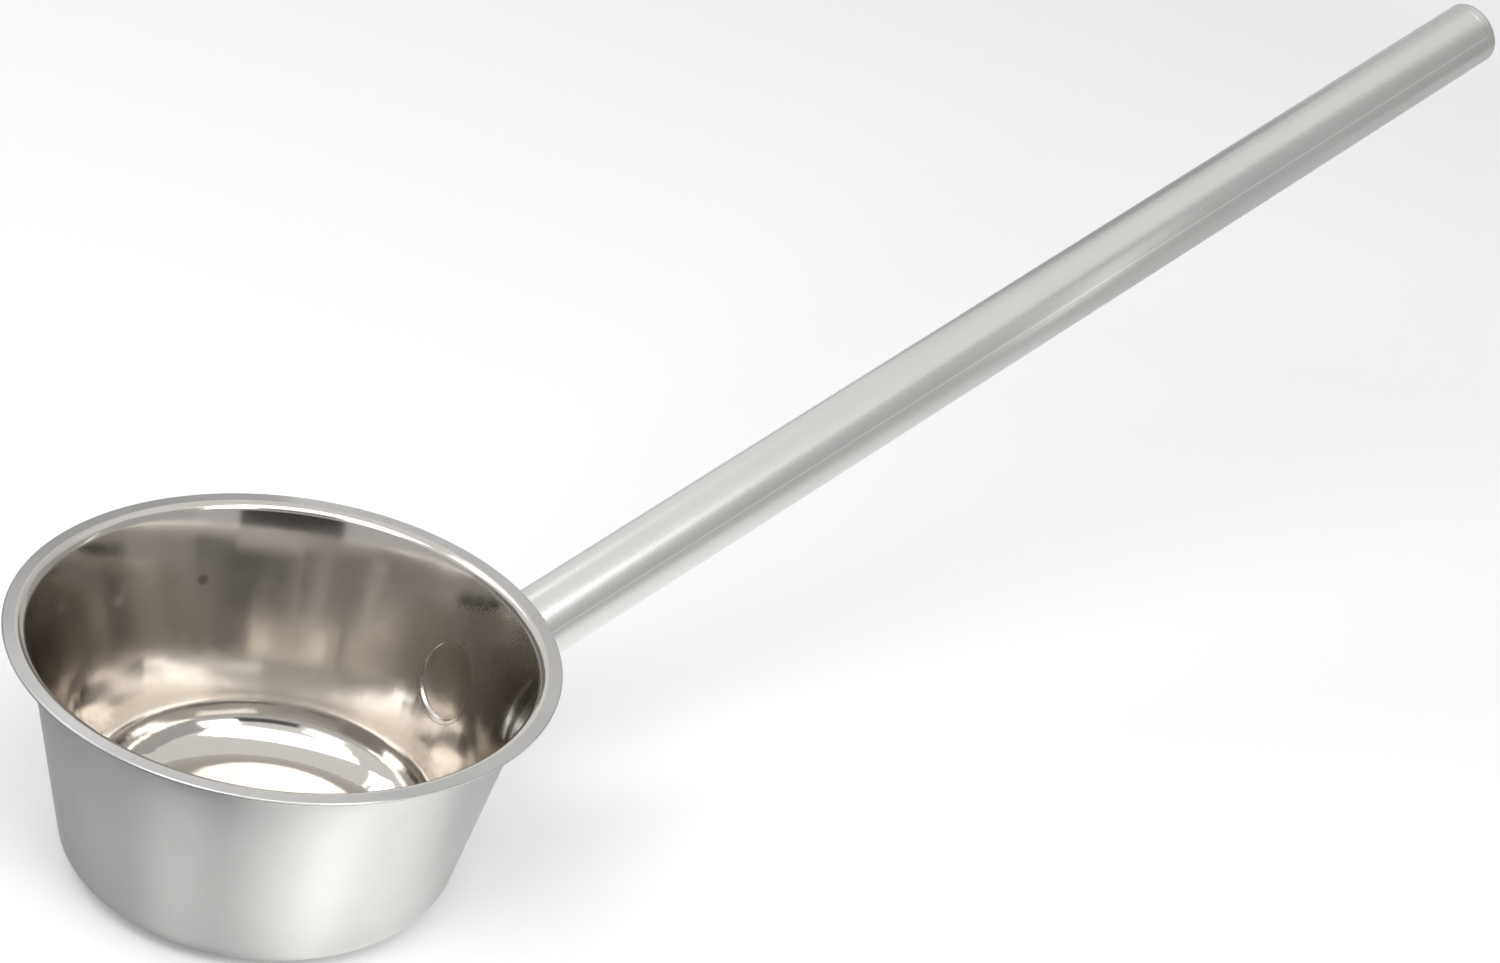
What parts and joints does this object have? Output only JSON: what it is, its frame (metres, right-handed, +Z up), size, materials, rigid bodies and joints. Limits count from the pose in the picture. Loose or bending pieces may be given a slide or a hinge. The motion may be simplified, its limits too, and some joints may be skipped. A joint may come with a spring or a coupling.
{
  "type": "water ladle",
  "caption": "Stainless steel water ladle: a flared flat-bottomed bowl with a turned-out rim, and a long straight tube handle welded through its wall.",
  "frame": {"origin": "centre of the bowl's flat underside", "axes": "+Z up along the bowl's axis, +X along the handle as seen from above, +Y completes the right-handed frame"},
  "size_m": [0.5696, 0.1526, 0.194],
  "materials": {
    "bowl_steel": "mirror polish inside, satin outside",
    "tube_steel": "satin, polished along its length",
    "plug_steel": "polished",
    "cap_steel": "satin",
    "weld_steel": "brushed weld"
  },
  "bodies": {
    "root": {"bowl": "bowl_steel", "handle_tube": "tube_steel", "tube_plug": "plug_steel", "handle_end_cap": "cap_steel", "weld_bead": "weld_steel"}
  },
  "joints": []
}
